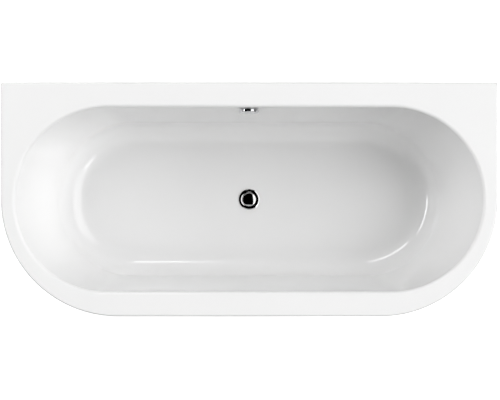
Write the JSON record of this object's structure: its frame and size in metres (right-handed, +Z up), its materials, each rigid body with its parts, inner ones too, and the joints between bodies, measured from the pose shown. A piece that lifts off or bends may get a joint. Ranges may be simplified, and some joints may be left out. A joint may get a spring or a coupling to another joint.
{
  "type": "bathtub",
  "caption": "Back-to-wall acrylic bathtub with a straight wall edge, round front corners, double-ended bowl, pop-up waste, overflow knob, trap and levelling feet.",
  "frame": {"origin": "on the floor, under the middle of the rim", "axes": "+Z up, +X along the length to the right, +Y towards the wall that the straight back edge stands against"},
  "size_m": [1.7, 0.8, 0.6],
  "materials": {
    "acrylic": "high gloss white",
    "adhesive": "matt pale grey bead",
    "glass_fibre": "rough cured glass fibre and resin",
    "chipboard": "resin-coated chipboard",
    "timber": "sawn softwood",
    "frame_steel": "galvanised",
    "yellow_zinc": "yellow zinc plating",
    "bright_zinc": "bright zinc plating",
    "satin_steel": "satin stainless steel",
    "chrome": "polished chrome plating",
    "white_plastic": "moulded white polypropylene",
    "grey_plastic": "moulded grey polypropylene",
    "pipe_plastic": "grey waste pipe",
    "hose_plastic": "corrugated grey polyethylene",
    "black_plastic": "moulded black nylon",
    "seal_rubber": "matt black rubber",
    "sole_rubber": "matt dark rubber",
    "cable_jacket": "smooth black cable jacket"
  },
  "bodies": {
    "tub": {"bath_shell": "acrylic", "apron": "acrylic", "rim_bond": "adhesive", "floor_reinforcement": "glass_fibre", "base_board": "chipboard", "front_rim_batten": "timber", "back_rim_batten": "timber", "front_frame_rail": "frame_steel", "back_frame_rail": "frame_steel", "left_crossbar": "frame_steel", "right_crossbar": "frame_steel", "foot_inserts": "yellow_zinc", "foot_locknuts": "bright_zinc", "frame_screws": "yellow_zinc", "waste_flange": "chrome", "waste_upper_seal": "seal_rubber", "waste_lower_seal": "seal_rubber", "waste_body": "white_plastic", "lever_cover": "white_plastic", "overflow_body": "white_plastic", "overflow_seal": "seal_rubber", "overflow_plate": "satin_steel", "control_cable": "cable_jacket", "overflow_hose": "hose_plastic", "upper_hose_nut": "grey_plastic", "lower_hose_nut": "grey_plastic", "trap_nut": "grey_plastic", "trap_washer": "seal_rubber", "trap_body": "white_plastic", "trap_cleaning_cap": "grey_plastic", "outlet_nut": "grey_plastic", "outlet_seal": "seal_rubber", "outlet_pipe": "pipe_plastic", "left_wall_hook": "frame_steel", "right_wall_hook": "frame_steel"},
    "knob": {"overflow_knob": "chrome", "knob_spindle": "bright_zinc", "spindle_clip": "bright_zinc"},
    "plug": {"plug_cap": "chrome", "plug_seal": "seal_rubber", "plug_stem": "bright_zinc"},
    "lever": {"lift_lever": "bright_zinc"},
    "foot_1": {"foot_stud_1": "bright_zinc", "foot_pad_1": "black_plastic", "foot_sole_1": "sole_rubber"},
    "foot_2": {"foot_stud_2": "bright_zinc", "foot_pad_2": "black_plastic", "foot_sole_2": "sole_rubber"},
    "foot_3": {"foot_stud_3": "bright_zinc", "foot_pad_3": "black_plastic", "foot_sole_3": "sole_rubber"},
    "foot_4": {"foot_stud_4": "bright_zinc", "foot_pad_4": "black_plastic", "foot_sole_4": "sole_rubber"},
    "foot_5": {"foot_stud_5": "bright_zinc", "foot_pad_5": "black_plastic", "foot_sole_5": "sole_rubber"},
    "foot_6": {"foot_stud_6": "bright_zinc", "foot_pad_6": "black_plastic", "foot_sole_6": "sole_rubber"}
  },
  "joints": [
    {"name": "knob_turn", "type": "hinge", "parent": "tub", "child": "knob", "pos_m": [0, 0.31014, 0.546], "axis": [0, -0.9936, 0.1132], "range_deg": [0, 90]},
    {"name": "plug_lift", "type": "slide", "parent": "tub", "child": "plug", "axis": [0, 0, 1], "range_m": [0, 0.0101]},
    {"name": "lever_swing", "type": "hinge", "parent": "tub", "child": "lever", "pos_m": [0, 0.012, 0.104], "axis": [-1, 0, 0], "range_deg": [0, 50]},
    {"name": "foot_1_screw", "type": "slide", "parent": "tub", "child": "foot_1", "axis": [0, 0, -1], "range_m": [0, 0.025]},
    {"name": "foot_2_screw", "type": "slide", "parent": "tub", "child": "foot_2", "axis": [0, 0, -1], "range_m": [0, 0.025]},
    {"name": "foot_3_screw", "type": "slide", "parent": "tub", "child": "foot_3", "axis": [0, 0, -1], "range_m": [0, 0.025]},
    {"name": "foot_4_screw", "type": "slide", "parent": "tub", "child": "foot_4", "axis": [0, 0, -1], "range_m": [0, 0.025]},
    {"name": "foot_5_screw", "type": "slide", "parent": "tub", "child": "foot_5", "axis": [0, 0, -1], "range_m": [0, 0.025]},
    {"name": "foot_6_screw", "type": "slide", "parent": "tub", "child": "foot_6", "axis": [0, 0, -1], "range_m": [0, 0.025]}
  ],
  "couplings": [
    {"joint": "plug_lift", "follows": "knob_turn", "m_per_rad": 0.006366},
    {"joint": "lever_swing", "follows": "knob_turn", "ratio": 0.54721}
  ]
}
